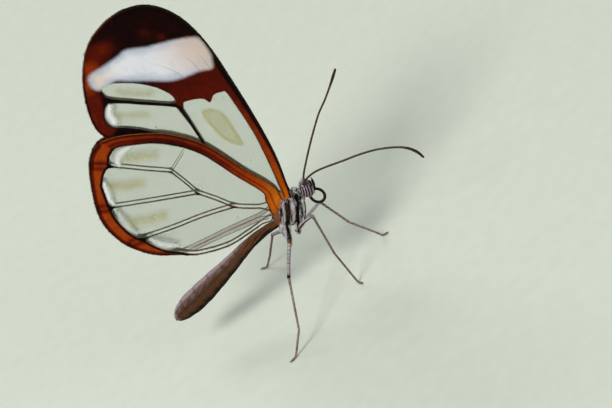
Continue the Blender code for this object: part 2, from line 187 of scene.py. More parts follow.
# Limbs as x, y and z, with y outwards from the middle
LEGS = {
    "midleg_right": (
        (-0.45, 0.35, 7.35), (2.6, 2.6, 9.3), (2, 2.9, 4.4), (2.05, 3, 0.6), (2.35, 3.4, 0.13),
    ),
    "midleg_left": (
        (-0.1, 0.52, 6.93), (2.6, 2.1, 7.4), (3.6, 2.35, 3.4), (5.2, 2.35, 0.7), (5.85, 2.3, 0.13),
    ),
    "hindleg_right": (
        (-1.2, 0.35, 7.35), (-2.6, 5, 5.9), (-4.1, 8.4, 2.1), (-5.5, 9.2, 0.5), (-6.2, 9.6, 0.13),
    ),
    "hindleg_left": (
        (-1.2, 0.35, 7.35), (-4.3, 4.4, 5.4), (-7.1, 7.5, 1.4), (-8, 7.85, 0.4), (-8.7, 8.1, 0.13),
    ),
}
FORELEG = ((2.25, 0.75, 10.3), (1.95, 0.98, 9.5), (1.25, 1.08, 8.5))
PALP = ((3.35, 0.16, 10.4), (3.72, 0.18, 10.45), (3.93, 0.19, 10.72), (4.03, 0.19, 11.1), (4.1, 0.19, 11.6))
LEFT_ANTENNA = (
    (3.2, 0.3, 11.45), (3.6, 0.45, 12.1), (4.6, 0.9, 13.1), (6.2, 1.4, 14.6), (8.1, 2.1, 16.2),
    (9.5, 2.5, 17.1), (10.9, 3, 18.1), (12.1, 3.3, 19.1),
)
RIGHT_ANTENNA = (
    (3.2, 0.3, 11.45), (3.8, 0.4, 12), (5, 0.7, 12.4), (6.4, 1.1, 12.5), (8.2, 1.5, 12.4),
    (10.3, 2.1, 12.4), (12.1, 2.6, 12.2), (13.8, 3.1, 11.7), (14.8, 3.5, 11.2), (15.4, 3.7, 10.4),
    (15.7, 4, 9.6),
)

# Markings of the thorax as x, y and z on its left side: stripes with half widths, and pale lines
THORAX_STRIPES = (
    (((1.95, 0.6, 11.12), (1.82, 0.45, 10.8), (1.67, 0.4, 10.45), (1.42, 0.77, 10.03), (1.09, 0.98, 9.52),
      (0.55, 0.95, 8.6), (0.1, 0.85, 7.85), (-0.2, 0.75, 7.4)), (0.2, 0.19, 0.11), 1),
    (((2.2, 0.45, 10.9), (2.05, 0.5, 10.4), (1.8, 0.5, 9.8)), (0.05, 0.09, 0.06), 0.85),
    (((0.72, 1, 11), (0.5, 1.1, 10.55), (0.1, 1.2, 9.85), (-0.39, 1.14, 9.11),
      (-0.85, 0.97, 8.3), (-1.1, 1.3, 7.6), (-1.25, 1.6, 7.2)), (0.3, 0.24, 0.13), 0.55),
    (((-0.1, 1.2, 9.67), (-0.41, 1.09, 9.08), (-0.84, 1.09, 8.19), (-1.15, 1.4, 7.55)),
     (0.1, 0.12, 0.1), 0.95),
    (((1.63, 0.54, 9.68), (1.35, 0.9, 9.3), (0.95, 0.94, 8.7)), (0.06, 0.08, 0.05), 0.8),
)
GOLD_PATCH = ((0.75, 1.08, 10.85), (0.55, 1.15, 10.4))
SCLERITE = ((-0.45, 0.8, 11.0), (-0.75, 1.05, 10.4), (-1.25, 0.75, 9.75), (-1.45, 0.5, 9.2))
COXA_TIP = (-1.42, 1.53, 7.26)
# Painted light on the shoulder: the thorax's dark flecks are cleared along this line.
PAINTED_LIGHT_SHOULDER = ((1.35, 0.55, 11.3), (1.1, 0.85, 10.7))
PALE_LINES = (
    (((-1.85, 0.3, 8.5), (-1.6, 0.75, 7.95), (-1.5, 1.1, 7.5)), 0.1),
    (((1.95, 0.1, 11.4), (2, 0.3, 11.34)), 0.14),
    # The third pale line is a real mark, widened here as painted light on the shoulder.
    (((1.42, 0.1, 11.5), (1.38, 0.5, 11.25), (1.28, 0.95, 10.8), (1.1, 1, 10.4)), 0.21),
)


# Curves and distances

def spline(points, count):
    """count points on a smooth curve through the given ones."""
    points = np.array(points, float)
    ends = np.vstack((2 * points[0] - points[1], points, 2 * points[-1] - points[-2]))
    place = np.linspace(0, len(points) - 1, count)
    i = np.minimum(place.astype(int), len(points) - 2)
    t = (place - i)[:, None]
    a, b, c, d = ends[i], ends[i + 1], ends[i + 2], ends[i + 3]
    return 0.5 * (2 * b + (c - a) * t + (2 * a - 5 * b + 4 * c - d) * t**2 + (3 * b - a - 3 * c + d) * t**3)


def travelled(path):
    """How far along a path each of its points lies."""
    return np.concatenate(([0], np.cumsum(np.linalg.norm(np.diff(path, axis=0), axis=1))))


def even(points, count):
    """The same curve with its points evenly spaced along its length."""
    fine = spline(points, 60 * len(points))
    runs = travelled(fine)
    goal = np.linspace(0, runs[-1], count)
    return np.stack([np.interp(goal, runs, fine[:, k]) for k in range(fine.shape[1])], axis=1)


def loop_through(points):
    """A closed smooth curve through points."""
    per_run = 6
    wrapped = (*points[-2:], *points, *points[:2])
    return spline(wrapped, (len(wrapped) - 1) * per_run + 1)[2 * per_run : -2 * per_run]


def line_distance(points, line):
    """Each point's distance from a line, and the share of the line's length where that is."""
    line = np.array(line, float)
    best = np.full(len(points), 1e9)
    share = np.zeros(len(points))
    lengths = np.linalg.norm(np.diff(line, axis=0), axis=1)
    done = 0.0
    for a, b, length in zip(line, line[1:], lengths):
        run = b - a
        t = np.clip((points - a) @ run / max(run @ run, 1e-12), 0, 1)
        gap = np.linalg.norm(points - (a + t[:, None] * run), axis=1)
        closer = gap < best
        best[closer] = gap[closer]
        share[closer] = (done + t * length)[closer] / lengths.sum()
        done += length
    return best, share


def gap_to(points, line, count=0):
    """Distance from each point to a line, or to a curve of count points through it."""
    return line_distance(points, even(line, count) if count else line)[0]


def inside(points, loop):
    """Which points lie inside a closed outline."""
    x, z = points.T
    found = np.zeros(len(points), bool)
    for (x0, z0), (x1, z1) in zip(loop, np.roll(loop, -1, axis=0)):
        crosses = (z0 > z) != (z1 > z)
        height = z1 - z0 if z1 != z0 else 1e-12
        found ^= crosses & (x < (x1 - x0) * (z - z0) / height + x0)
    return found


def depth(points, outline):
    """How far inside a closed smooth outline each point lies, negative outside."""
    loop = loop_through(outline)
    gap = gap_to(points, np.vstack((loop, loop[:1])))
    return np.where(inside(points, loop), gap, -gap)


def smooth(value):
    """0 to 1 with level ends."""
    value = np.clip(value, 0, 1)
    return value * value * (3 - 2 * value)


def rise(value, start, width):
    """0 up to start and 1 from a width beyond it, or below it if width is negative."""
    return smooth((value - start) / width)


def bell(value, width):
    """1 at 0, falling off over width."""
    return np.exp(-((value / width) ** 2))


def soft_min(values, width):
    """The least of several fields, rounded where they meet."""
    return -width * np.log(sum(np.exp(-np.clip(value / width, -40, 40)) for value in values))


def band(value, low, high, blur):
    """1 between low and high, fading over blur."""
    return smooth((value - low) / blur + 0.5) * smooth((high - value) / blur + 0.5)


def wobble(points, size, seed):
    """Smooth noise, about -1 to 1, with features of the given size."""
    points = np.asarray(points) / size
    rng = np.random.default_rng(seed)
    total = np.zeros(len(points))
    for weight in (1.0, 0.6, 0.6, 0.4):
        aim = rng.normal(size=points.shape[1])
        total += weight * np.sin(points @ aim * 2.2 + rng.uniform(0, 6.28))
    return total / 2.0


def unit(vectors):
    """The vectors at length 1."""
    return vectors / np.linalg.norm(vectors, axis=-1, keepdims=True)


def upright(flat, y):
    """Points at x, z as points at x, y, z."""
    return np.stack((flat[:, 0], y, flat[:, 1]), 1)


def taper(count, shares, sizes):
    """count sizes along a path, between the sizes given at some shares of it."""
    return np.interp(np.linspace(0, 1, count), shares, sizes)


# Mesh and material making

def add_object(name, data):
    """A new object in the scene."""
    obj = bpy.data.objects.new(name, data)
    bpy.context.scene.collection.objects.link(obj)
    return obj


def build_mesh(name, points, faces, shift=SHIFT, scale=MM):
    """A mesh object from points in thorax-frame millimetres and faces of one size."""
    mesh = bpy.data.meshes.new(name)
    faces = np.asarray(faces, np.int32)
    world = (np.asarray(points, float) + shift) * scale
    mesh.vertices.add(len(world))
    mesh.vertices.foreach_set("co", world.astype(np.float32).ravel())
    mesh.loops.add(faces.size)
    mesh.loops.foreach_set("vertex_index", faces.ravel())
    mesh.polygons.add(len(faces))
    mesh.polygons.foreach_set("loop_start", np.arange(len(faces), dtype=np.int32) * faces.shape[1])
    mesh.update(calc_edges=True)
    mesh.validate()
    mesh.shade_smooth()
    return add_object(name, mesh)


def read_all(items, name, kind=np.float32, width=1):
    """One property of all of a mesh's items, end to end."""
    values = np.empty(len(items) * width, kind)
    items.foreach_get(name, values)
    return values


def add_piece(name, shape, material, slot, *nodes, **marks):
    """A piece of the animal, its material, nodes, and marks with a value per point; slot is not used."""
    obj = build_mesh(name, *shape)
    for key, values in marks.items():
        layer = obj.data.attributes.new(key, "FLOAT", "POINT")
        layer.data.foreach_set("value", np.asarray(values, np.float32))
    obj.data.materials.append(material)
    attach(obj, "root")
    if nodes:
        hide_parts(*nodes)
    return obj


def grid_faces(rows, columns, wrap=False):
    """Quads over rows of points; wrap joins the last column to the first."""
    across = columns if wrap else columns - 1
    i, j = np.divmod(np.arange((rows - 1) * across), across)
    k = (j + 1) % columns
    start, after = i * columns, (i + 1) * columns
    return np.stack((start + j, start + k, after + k, after + j), 1)


class Recipe:
    """A node material being put together."""

    def __init__(self, name, shine=0.5, **sockets):
        self.material = bpy.data.materials.new(name)
        self.material.use_nodes = True
        self.tree = self.material.node_tree
        self.shader = self.tree.nodes["Principled BSDF"]
        self.set("Specular IOR Level", shine)
        for socket, value in sockets.items():
            self.set(socket.replace("_", " "), value)

    def node(self, kind, inputs=(), **settings):
        made = self.tree.nodes.new("ShaderNode" + kind)
        for key, value in settings.items():
            setattr(made, key, value)
        for key, value in dict(inputs).items():
            self.feed(made.inputs[key], value)
        return made

    def feed(self, socket, value):
        if isinstance(value, bpy.types.NodeSocket):
            self.tree.links.new(value, socket)
        elif isinstance(value, tuple) and socket.type == "RGBA":
            socket.default_value = (*value, 1.0)
        else:
            socket.default_value = value

    def set(self, socket, value):
        self.feed(self.shader.inputs[socket], value)

    def mark(self, name):
        return self.node("Attribute", attribute_name=name).outputs["Fac"]

    def math(self, kind, a, b):
        return self.node("Math", {0: a, 1: b}, operation=kind).outputs[0]

    def plus(self, a, b):
        return self.math("ADD", a, b)

    def times(self, a, b):
        return self.math("MULTIPLY", a, b)

    def shaken(self, name, noise, size):
        """A stored mark with noise added to it."""
        return self.plus(self.mark(name), self.times(self.math("SUBTRACT", noise, 0.5), size))

    def span(self, value, low, high, to_low=0.0, to_high=1.0):
        inputs = enumerate((value, low, high, to_low, to_high))
        return self.node("MapRange", inputs, interpolation_type="SMOOTHSTEP").outputs["Result"]

    def place(self, stretch=(1, 1, 1)):
        coords = self.node("TexCoord").outputs["Object"]
        scale = [1000.0 * share for share in stretch]
        return self.node("Mapping", {"Vector": coords, "Scale": scale}).outputs["Vector"]

    def noise(self, scale, detail=3.0, stretch=(1, 1, 1)):
        inputs = {"Vector": self.place(stretch), "Scale": scale, "Detail": detail}
        return self.node("TexNoise", inputs).outputs["Fac"]

    def cells(self, scale, stretch=(1, 1, 1), output="Distance"):
        inputs = {"Vector": self.place(stretch), "Scale": scale}
        return self.node("TexVoronoi", inputs).outputs[output]

    def mix(self, share, a, b, blend="MIX"):
        inputs = {0: share, 6: a, 7: b}
        return self.node("Mix", inputs, data_type="RGBA", blend_type=blend).outputs[2]

    def ramp(self, share, stops):
        made = self.node("ValToRGB", {"Fac": share})
        marks = made.color_ramp.elements
        while len(marks) < len(stops):
            marks.new(0.5)
        for element, (position, colour) in zip(marks, stops):
            element.position = position
            element.color = (*colour, 1.0)
        return made.outputs["Color"]

    def rough(self, tone, low, high):
        """Roughness that runs from low to high with a tone."""
        return self.span(tone, 0.3, 0.7, low, high)

    def done(self, colour, rough, height=None, deep=0.0, strength=1.0):
        """The material with its colour, roughness and bump, whose depth is in millimetres."""
        self.set("Base Color", colour)
        self.set("Roughness", rough)
        if height is not None:
            inputs = {"Height": height, "Distance": deep * MM, "Strength": strength}
            self.set("Normal", self.node("Bump", inputs).outputs["Normal"])
        return self.material


def mottled(name, noise, dark, light, rough, bump=None, shine=0.5):
    """Two tones mottled by a noise; bump is another noise, its depth and its strength."""
    m = Recipe(name, shine)
    tone = m.noise(*noise)
    colour = m.ramp(tone, ((0.3, dark), (0.7, light)))
    if bump:
        return m.done(colour, m.rough(tone, *rough), m.noise(*bump[:2]), *bump[2:])
    return m.done(colour, m.rough(tone, *rough))


# Wings

def thorax_width(points):
    """Half width of the thorax beside each x, z, and 0 outside its outline."""
    sections = spline(THORAX, 40)
    gap, share = line_distance(points, sections[:, :2])
    index = np.arange(len(sections))
    wide, high = (np.interp(share * index[-1], index, sections[:, k]) for k in (2, 3))
    return wide * np.sqrt(np.clip(1 - (gap / high) ** 2, 0, 1))


def wing_y(points, rest, root):
    """How far from the middle a wing's own middle lies at each x, z."""
    x, z = points.T
    away = np.hypot((x - ROOT_AT[0]) / ROOT_REACH[0], (z - ROOT_AT[1]) / ROOT_REACH[1])
    flare = rest + ROOT_SPREAD * (1 - rise(away, 0.15, 0.85))
    skin = thorax_width(points)
    clear = 0.5 * (flare + skin + np.sqrt((flare - skin) ** 2 + 0.03))
    held = smooth(1 - gap_to(points, root) / 0.7)
    return clear * (1 - held) + (skin - 0.12) * held


def ripple(points):
    """The gentle bend that all four wings share, so that they never meet."""
    x, z = points.T
    slow = 0.1 * np.sin(0.27 * x + 0.14 * z) + 0.06 * np.sin(0.5 * x - 0.21 * z + 1.1)
    fine = 0.014 * np.sin(1.9 * x + 0.8 * z) + 0.01 * np.sin(0.9 * x - 2.3 * z)
    return rise(z, 13, 9) * (slow + fine)


def fore_marks(points):
    """The forewing's pattern at each x, z."""
    costa = gap_to(points, FORE_COSTA, 60)
    margin = gap_to(points, FORE_MARGIN, 80)
    outer, up = line_distance(points, even(FORE_MARGIN[7:12], 40))
    x, z = points.T
    clear = np.max([depth(points, window) for window in FORE_WINDOWS], axis=0)
    vein = np.min([gap_to(points, v, 40) for v in FORE_VEINS[1:5]], axis=0)
    clear = soft_min((clear, vein - 0.03), 0.04)
    shade = np.interp(z, (11, 13, 16, 20, 24, 27, 30, 33), (0.95, 0.86, 0.7, 0.52, 0.4, 0.38, 0.26, 0.06))
    black = np.interp(z, (11, 14, 17, 20, 24, 27), (0.04, 0.1, 0.16, 0.24, 0.3, 0.44))
    warm = smooth((costa - black) / 0.24 + 0.5) * shade * (costa < margin + 1.2)
    left = rise(outer, 0.05, 0.2) * rise(outer, 2.0, -0.8) * smooth(up / 0.05) * rise(up, 1, -0.3)
    left = 0.42 * left * (1 - 0.7 * bell(clear, 0.14)) * (1 - 0.6 * rise(z, 27.6, -1.0))
    rim = 0.3 * band(margin, -1, 0.07, 0.05) * rise(x, 1.5, -3)
    rim = np.maximum(rim, 0.34 * band(margin, 0.1, 0.4, 0.16) * rise(z, 22, 2) * rise(z, 28, -1.0))
    for spot_x, spot_z, size, gain in WARM_SPOTS:
        left += gain * np.exp(-((x - spot_x) ** 2 + (z - spot_z) ** 2) / size**2)
    warm = np.max((left, warm, rim * (z > 22)), axis=0)
    pale = bell(gap_to(points, FORE_MARK), 0.5) * smooth(clear / 0.2)
    ghost = 0.6 * np.max([bell(gap_to(points, s), 0.4) for s in FORE_STREAKS], axis=0)
    oval = depth(points, FORE_GHOST)
    ghost = np.max((ghost, band(oval, -0.12, 0.16, 0.16), 0.55 * smooth(oval / 0.2)), axis=0)
    return {
        "clear": clear, "warm": warm, "white": depth(points, WHITE_BAND), "pale": pale, "ghost": ghost,
        "fold": 0 * x,
    }


def hind_marks(points):
    """The hindwing's pattern at each x, z."""
    costa, out = line_distance(points, even(HIND_COSTA, 60))
    margin, along = line_distance(points, even(HIND_MARGIN, 80))
    wide = np.interp(
        along, (0, 0.3, 0.34, 0.38, 0.41, 0.45, 0.5, 0.6, 0.7, 0.77, 0.83, 0.87, 0.92, 1),
        (0.1, 0.1, 0.22, 0.42, 0.6, 0.95, 1.35, 1.42, 1.42, 1.3, 1.05, 1.35, 1.95, 1.6),
    )
    high = np.interp(out, (0, 0.05, 0.1, 0.2, 0.8, 0.94, 1), (1.7, 1.4, 1.15, 1.08, 1.15, 1.2, 1.3))
    room = np.clip(margin - wide, 0, 9)
    veins = [gap_to(points, v, 40) - 0.06 - 0.26 * np.exp(-room / 0.25) for v in HIND_VEINS[:5]]
    clear = soft_min([margin - wide, costa - high] + veins, 0.08)
    on_costa = smooth(((margin - wide) - (costa - high)) / 0.3 + 0.5)
    scallop = 0.5 + 0.5 * np.cos(along * 64.0)
    edge_warm = 0.4 * band(margin, 0.08, 9, 0.1)
    edge_warm += 0.34 * band(margin, 0.36, wide - 0.2 - 0.08 * scallop, 0.24)
    edge_warm *= band(margin, -1, np.maximum(wide - 0.2, 0.1), 0.2)
    edge_warm *= 1 - 0.4 * bell(np.min(veins, axis=0), 0.28)
    peak = np.interp(out, (0, 0.06, 0.16, 0.36, 0.6, 0.8, 1), (1.0, 0.98, 0.8, 0.56, 0.5, 0.54, 0.6))
    low = np.interp(out, (0, 0.1, 0.2, 0.36, 0.6, 0.8, 1), (0.9, 0.9, 0.7, 0.5, 0.2, 0.34, 0.5))
    costa_warm = peak + (low - peak) * rise(np.clip(costa / high, 0, 1), 0.3, 0.5)
    costa_warm *= 1 - 0.42 * band(costa, 0.5 * high, 0.5 * high + 0.1, 0.16)
    costa_warm *= 1 - 0.5 * band(costa, -1, 0.08 + 0.14 * out, 0.16) * rise(out, 0.1, 0.2)
    costa_warm *= 1 - 0.6 * band(costa, high - 0.12, 9, 0.14)
    warm = edge_warm * (1 - on_costa) + costa_warm * on_costa
    warm = np.where(along < 0.34, np.maximum(warm, 0.35 * (1 - on_costa)), warm)
    pale = np.zeros(len(points))
    for curve, strength in CRESCENTS:
        gap, share = line_distance(points, even(curve, 12))
        thin = 0.35 + 0.65 * np.sin(math.pi * np.clip(share, 0.04, 0.96))
        pale = np.maximum(pale, strength * bell(gap, 0.55 * thin))
    ghost = 0.8 * np.max([bell(gap_to(points, s), 0.5) for s in HIND_STREAKS], axis=0)
    fine = [even(vein, 20) for vein in HIND_FINE_VEINS]
    return {
        "clear": clear, "warm": warm, "white": np.full(len(points), -9.0),
        "pale": pale * smooth(clear / 0.12 + 0.4), "ghost": ghost,
        "fold": inside(points, np.vstack((fine[0], fine[1][::-1]))),
    }


class Wing:
    """One wing: its node, side, edges as x, z, and how far from the middle it rests."""

    def __init__(self, node, side, leading, trailing, rest):
        self.node, self.side, self.rest = node, side, rest
        self.leading, self.trailing = leading, trailing

    def lay(self, flat, off=0.0):
        """x, z points laid on the wing's middle, or off it in y."""
        root = np.array((self.leading[0], self.trailing[0]))
        return upright(flat, self.side * wing_y(flat, self.rest, root) + ripple(flat) + off)

    def add(self, part, shape, material, **marks):
        """A piece of this wing from its points and faces."""
        return add_piece(f"{self.node}_{part}", shape, material, "wing", self.node, **marks)


def wing_sheet(wing, marks, rows, columns, material):
    """A wing as a thin closed sheet, thicker where scales cover it."""
    lead, trail = even(wing.leading, rows), even(wing.trailing, rows)
    share = np.linspace(0, 1, columns)[None, :, None]
    flat = (lead[:, None] * (1 - share) + trail[:, None] * share).reshape(-1, 2)
    fields = marks(flat)
    half = FILM_HALF + SCALES_HALF * smooth(0.5 - fields["clear"] / 0.1)
    count = rows * columns
    faces = grid_faces(rows, columns)
    number = np.arange(count).reshape(rows, columns)
    rim = np.concatenate((number[0], number[1:, -1], number[-1, -2::-1], number[-2:0:-1, 0]))
    after = np.roll(rim, -1)
    edge = np.stack((rim, rim + count, after + count, after), 1)
    shape = (
        np.vstack((wing.lay(flat, half), wing.lay(flat, -half))),
        np.vstack((faces, faces[:, ::-1] + count, edge)),
    )
    obj = wing.add("sheet", shape, material, **{key: np.tile(value, 2) for key, value in fields.items()})
    obj.data.set_sharp_from_angle(angle=math.radians(50))


def tube(path, radii, sides=8, flat=1.0):
    """Points and faces of a closed tube along a path, flattened across y if flat is under 1."""
    count = len(path)
    radii, flat = np.broadcast_to(radii, count), np.broadcast_to(flat, count)
    aim = unit(np.gradient(path, axis=0))
    guide = np.where(np.abs(aim[:, 1:2]) < 0.85, (0.0, 1.0, 0.0), (1.0, 0.0, 0.0))
    across = unit(np.cross(aim, guide))
    up = np.cross(across, aim)
    turn = np.arange(sides) * math.tau / sides
    ring = across[:, None] * np.cos(turn)[None, :, None]
    ring = ring + up[:, None] * np.outer(flat, np.sin(turn))[:, :, None]
    points = (path[:, None] + ring * radii[:, None, None]).reshape(-1, 3)
    ends = np.vstack((path[0] - aim[0] * radii[0] * 0.3, path[-1] + aim[-1] * radii[-1] * 0.3))
    k = np.arange(0, sides, 2)
    after, start, tip = (k + 2) % sides, (count - 1) * sides, count * sides + 0 * k
    low = np.stack((tip, after, k + 1, k), 1)
    high = np.stack((tip + 1, start + k, start + k + 1, start + after), 1)
    return np.vstack((points, ends)), np.vstack((grid_faces(count, sides, wrap=True), low, high))


def join(shapes):
    """Several sets of points and faces as one."""
    points, faces, first = [], [], 0
    for some_points, some_faces in shapes:
        points.append(some_points)
        faces.append(some_faces + first)
        first += len(some_points)
    return np.vstack(points), np.vstack(faces)


def vein_net(wing, part, veins, material):
    """Raised veins of a wing, thickest at the root."""
    shapes = []
    for line, size in veins:
        path = wing.lay(even(line, 12 * len(line)))
        shapes.append(tube(path, np.linspace(size, size * 0.75, len(path)), 8, 0.8))
    wing.add(part, join(shapes), material)


def fringe(wing, material, seed):
    """The short scales that stand out along a wing's outer edge."""
    rng = np.random.default_rng(seed)
    outline = np.vstack((even(wing.leading, 400)[60:], even(wing.trailing, 600)[:40:-1]))
    count = 900
    outline = even(outline, count)
    aim = unit(np.gradient(outline, axis=0))
    out = np.stack((aim[:, 1], -aim[:, 0]), 1)
    out *= np.sign(((outline - outline.mean(axis=0)) * out).sum(axis=1, keepdims=True))
    share = np.linspace(0, 1, count)
    long = rng.uniform(0.09, 0.2, count) * np.clip(share * 6, 0.4, 1)
    foot, along = wing.lay(outline), upright(aim, 0 * share)
    away = upright(out, rng.uniform(-0.25, 0.25, count))
    lean = away + along * rng.uniform(-0.3, 0.3, (count, 1))
    path = np.stack([foot - away * 0.05 + lean * long[:, None] * t for t in (0, 0.6, 1.1)], 1)
    shape = blades(path, rng.uniform(0.022, 0.034, count), along, 0.012)
    warm = np.repeat(rng.uniform(0.05, 0.42, count), BLADE_POINTS)
    obj = wing.add("fringe", shape, material, warm=warm)
    lay_patches(obj, np.stack((0.02 + 0.96 * share, 0 * share + 0.02 + 0.04 * (wing.side > 0)), 1))


BLADE_POINTS = 9
BLADE_FACES = np.array((
    (0, 1, 4), (0, 4, 3), (1, 2, 5), (1, 5, 4), (2, 0, 3), (2, 3, 5), (3, 4, 7), (3, 7, 6),
    (4, 5, 8), (4, 8, 7), (5, 3, 6), (5, 6, 8), (0, 2, 1), (6, 7, 8),
))


def blades(path, half, across, thick):
    """Thin closed scales or hairs, each along three points and pointed at its far end."""
    foot, middle, end = path[:, 0], path[:, 1], path[:, 2]
    side = across * half[:, None]
    lift = unit(np.cross(across, end - foot)) * thick
    points = np.stack((
        foot - side * 0.6, foot + lift, foot + side * 0.6, middle - side, middle + lift, middle + side,
        end - side * 0.15, end + lift * 0.2, end + side * 0.15,
    ), 1)
    first = np.arange(len(path))[:, None, None] * BLADE_POINTS
    return points.reshape(-1, 3), (BLADE_FACES[None] + first).reshape(-1, 3)


def lay_patches(obj, places):
    """The OFBake map: a small patch for each scale, at its root's place on the skin."""
    layer = obj.data.uv_layers.new(name="OFBake")
    number = np.arange(BLADE_POINTS)
    patch = np.stack((number % 3 / 2, number // 3 / 2), 1) * 0.003
    spots = (places[:, None] + patch[None]).reshape(-1, 2)
    index = read_all(obj.data.loops, "vertex_index", np.int32)
    layer.data.foreach_set("uv", spots[index].astype(np.float32).ravel())


def wing_material():
    """Clear membrane, white band and scaled bands, told apart by the stored marks."""
    m = Recipe("wing_scales_and_membrane", 0.04)
    grain, patchy = m.noise(9.0), m.noise(1.3)
    row, tint = (m.cells(11.0, (1, 1, 0.55), output) for output in ("Distance", "Color"))
    window = m.span(m.shaken("clear", grain, 0.16), -0.04, 0.06)
    white = m.span(m.shaken("white", grain, 0.352), -0.24, 0.32)
    scaled = m.ramp(m.shaken("warm", patchy, 0.22), (
        (0.0, (0.004, 0.001, 0.001)), (0.2, (0.022, 0.002, 0.001)), (0.42, (0.1, 0.006, 0.001)),
        (0.66, (0.28, 0.032, 0.002)), (0.85, (0.42, 0.07, 0.003)), (1.0, (0.52, 0.14, 0.004)),
    ))
    scaled = m.mix(0.28, scaled, m.mix(1.0, scaled, tint, "MULTIPLY"))
    forward = m.node("SeparateXYZ", {0: m.place()}).outputs["X"]
    blush = m.span(forward, -1.0, 4.5)
    # Painted shade: the white band's edges are tinted blue-grey, less towards the head.
    edge = m.span(m.shaken("white", m.noise(0.6, 2.0), 1.6), 1.1, 0.1)
    edge = m.times(m.times(edge, m.span(blush, 0.3, 0.9, 1.0, 0.3)), 0.75)
    veil = m.span(m.noise(1.6, 3.0, (1, 1, 0.5)), 0.5, 0.8, 0.0, 0.22)
    milk = m.mix(blush, (0.77, 0.76, 0.81), (0.64, 0.5, 0.42))
    # The blue-grey mixed in by edge is painted shade.
    for share, colour in (
        (m.span(forward, -3.5, -6.2), (0.72, 0.62, 0.54)), (edge, (0.42, 0.47, 0.58)),
        (veil, (0.45, 0.45, 0.52)),
    ):
        milk = m.mix(share, milk, colour)
    ghost = m.times(m.mark("ghost"), m.span(m.noise(3.0, 4.0), 0.3, 0.6, 0.55, 1.0))
    pale = m.times(m.mark("pale"), m.span(grain, 0.3, 0.6, 0.7, 1.0))
    dust = m.times(m.span(m.cells(0.62), 0.09, 0.05), m.span(m.noise(0.35, 1.0), 0.5, 0.56))
    fold = m.times(m.mark("fold"), m.span(grain, 0.3, 0.6, 0.6, 1.0))
    film = m.mix(m.span(patchy, 0.35, 0.7), (0.26, 0.3, 0.23), (0.34, 0.38, 0.29))
    cover = 0.11
    for share, colour, gain in (
        (ghost, (0.44, 0.38, 0.02), 0.22), (pale, (0.92, 0.92, 0.92), 0.88),
        (dust, (0.85, 0.82, 0.68), 0.7), (fold, (0.3, 0.2, 0.19), 0.3),
    ):
        film = m.mix(share, film, colour)
        cover = m.plus(cover, m.times(share, gain))
    solid = m.math("SUBTRACT", 1.0, window)
    m.set("Alpha", m.math("MINIMUM", m.plus(m.times(window, cover), solid), 1.0))
    height = m.plus(m.times(row, solid), m.times(patchy, 0.8))
    colour = m.mix(window, m.mix(white, scaled, milk), film)
    return m.done(colour, m.span(window, 0.0, 1.0, 0.7, 0.3), height, 0.025, 0.5)


def vein_material(name, dark, light):
    bump = (14.0, 3.0, 0.01, 0.6)
    return mottled(name, (3.0, 4.0), dark, light, (0.35, 0.55), bump, 0.06)


def fringe_material():
    m = Recipe("edge_scales", 0.06)
    colour = m.ramp(m.plus(m.mark("warm"), m.times(m.noise(2.0), 0.2)), (
        (0.1, (0.02, 0.008, 0.004)), (0.4, (0.12, 0.05, 0.02)), (0.7, (0.3, 0.16, 0.07)),
    ))
    return m.done(colour, m.rough(m.noise(6.0), 0.5, 0.7))


def make_wings():
    scales, edge = wing_material(), fringe_material()
    cuticle = vein_material("vein_cuticle", (0.04, 0.012, 0.003), (0.15, 0.045, 0.008))
    faint = vein_material("faint_vein", (0.28, 0.22, 0.21), (0.4, 0.34, 0.33))
    ridge = vein_material("costal_ridge", (0.004, 0.002, 0.002), (0.014, 0.005, 0.003))
    tan_ridge = vein_material("tan_ridge", (0.12, 0.035, 0.005), (0.24, 0.08, 0.012))
    fore_veins = list(zip(FORE_VEINS, (0.1, 0.062, 0.065, 0.06, 0.06, 0.05, 0.05, 0.05)))
    hind_veins = [(v, 0.064) for v in HIND_VEINS[:5]] + [(HIND_VEINS[5], 0.04)]
    hind_veins += [(v, 0.033) for v in HIND_FINE_VEINS] + [(HIND_MARGIN[:6], 0.038)]
    over_white = []
    for vein in FORE_VEINS[5:]:
        fine = even(vein, 120)
        over_white.append((fine[depth(fine, WHITE_BAND) > 0.1][::8], 0.075))
    for label, side in SIDES:
        fore = Wing(f"forewing_{label}", side, FORE_COSTA, FORE_MARGIN, FORE_Y)
        hind = Wing(f"hindwing_{label}", side, HIND_COSTA, HIND_MARGIN, HIND_Y)
        wing_sheet(fore, fore_marks, 240, 110, scales)
        wing_sheet(hind, hind_marks, 200, 120, scales)
        vein_net(fore, "veins", fore_veins, cuticle)
        vein_net(fore, "costa", [(FORE_COSTA, 0.085)], ridge)
        vein_net(fore, "veinlets", over_white, faint)
        vein_net(hind, "veins", hind_veins, cuticle)
        vein_net(hind, "costa", [(HIND_COSTA, 0.075)], tan_ridge)
        fringe(fore, edge, 11)
        fringe(hind, edge, 12)


# Skin

def leg_path(name):
    """A walking leg from hip to foot tip, as its three lengths."""
    side = 1 if name.endswith("left") else -1
    hip, knee, ankle, heel, toe = np.array(LEGS[name]) * (1, side, 1)
    forward = unit((toe - heel) * (1, 1, 0))
    femur = even((hip, (hip + knee) / 2 + (0, 0, 0.12), knee), 14)
    tibia = even((knee, (knee + ankle) / 2, ankle), 14)
    tarsus = even((ankle, (ankle + heel) / 2, heel, toe - forward * 0.35, toe + forward * 0.2), 22)
    return femur, tibia, tarsus


def line_share(path):
    """The share of a path's length before each of its points."""
    runs = travelled(path)
    return runs / runs[-1]


def egg(kind, centre, radii):
    """An upright egg shape as a part, with a path up its middle."""
    turn = np.linspace(0.08, math.pi - 0.08, 14)
    path = np.array(centre, float) + np.stack((0 * turn, 0 * turn, -radii[2] * np.cos(turn)), 1)
    return kind, path, radii[0] * np.sin(turn), radii[1] / radii[0]


